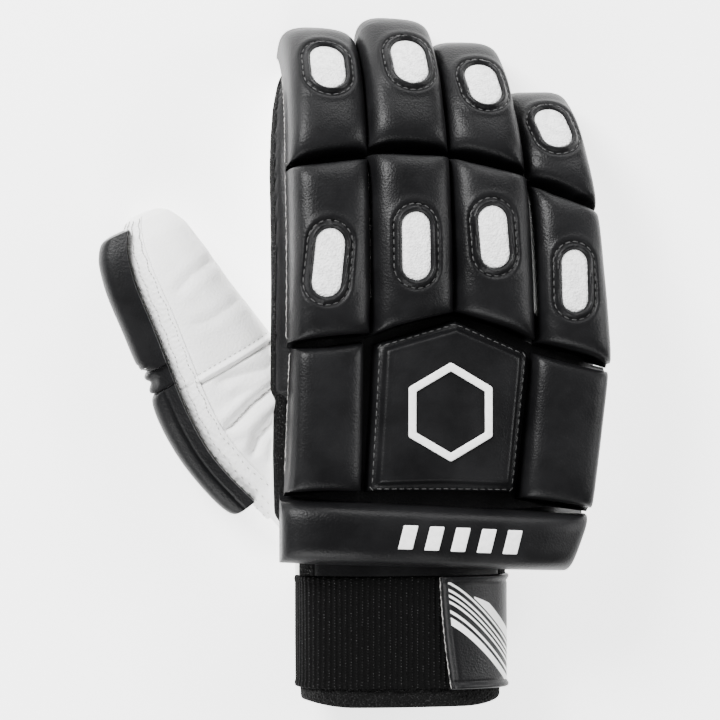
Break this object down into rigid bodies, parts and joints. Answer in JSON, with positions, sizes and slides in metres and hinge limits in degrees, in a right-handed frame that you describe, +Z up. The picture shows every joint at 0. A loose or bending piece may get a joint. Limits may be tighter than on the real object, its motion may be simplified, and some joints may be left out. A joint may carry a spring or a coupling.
{
  "type": "cricket batting glove",
  "caption": "Right-hand cricket batting glove with leather-covered foam finger rolls, panels, a thumb guard, a hollow hand shell and an elastic wrist strap.",
  "frame": {"origin": "under the middle of the glove's outline, on the surface that it lies on", "axes": "+Z up through the back of the hand, +Y towards the fingertips, -X towards the thumb"},
  "size_m": [0.2028, 0.2768, 0.0598],
  "materials": {
    "black_leather": "satin, fine grain",
    "white_leather": "satin, soft grain",
    "white_inlay": "matt, fine pebble grain",
    "black_mesh": "open black mesh with a slight sheen",
    "black_towelling": "matt black looped towelling",
    "black_elastic": "ribbed black elastic",
    "white_print": "raised satin white print"
  },
  "bodies": {
    "root": {"palm": "white_leather", "hand_back": "black_leather", "index_side_strip": "black_mesh", "index_middle_fork": "black_mesh", "middle_ring_fork": "black_mesh", "ring_little_fork": "black_mesh", "little_side_strip": "black_mesh", "index_mid_pad": "black_leather", "index_mid_inlay": "white_inlay", "index_tip_pad": "black_leather", "index_tip_inlay": "white_inlay", "middle_mid_pad": "black_leather", "middle_mid_inlay": "white_inlay", "middle_tip_pad": "black_leather", "middle_tip_inlay": "white_inlay", "ring_mid_pad": "black_leather", "ring_mid_inlay": "white_inlay", "ring_tip_pad": "black_leather", "ring_tip_inlay": "white_inlay", "little_mid_pad": "black_leather", "little_mid_inlay": "white_inlay", "little_tip_pad": "black_leather", "little_tip_inlay": "white_inlay", "index_panel": "black_leather", "badge_panel": "black_leather", "badge_frame": "white_print", "outer_panel": "black_leather", "cuff_roll": "black_leather", "wrist_band": "black_towelling", "wrist_strap": "black_elastic", "strap_tab": "black_leather", "thumb_stall": "white_leather", "thumb_guard_base": "black_leather", "thumb_guard_hinge": "black_leather", "thumb_guard_tip": "black_leather", "thumb_binding": "white_leather"}
  },
  "joints": []
}
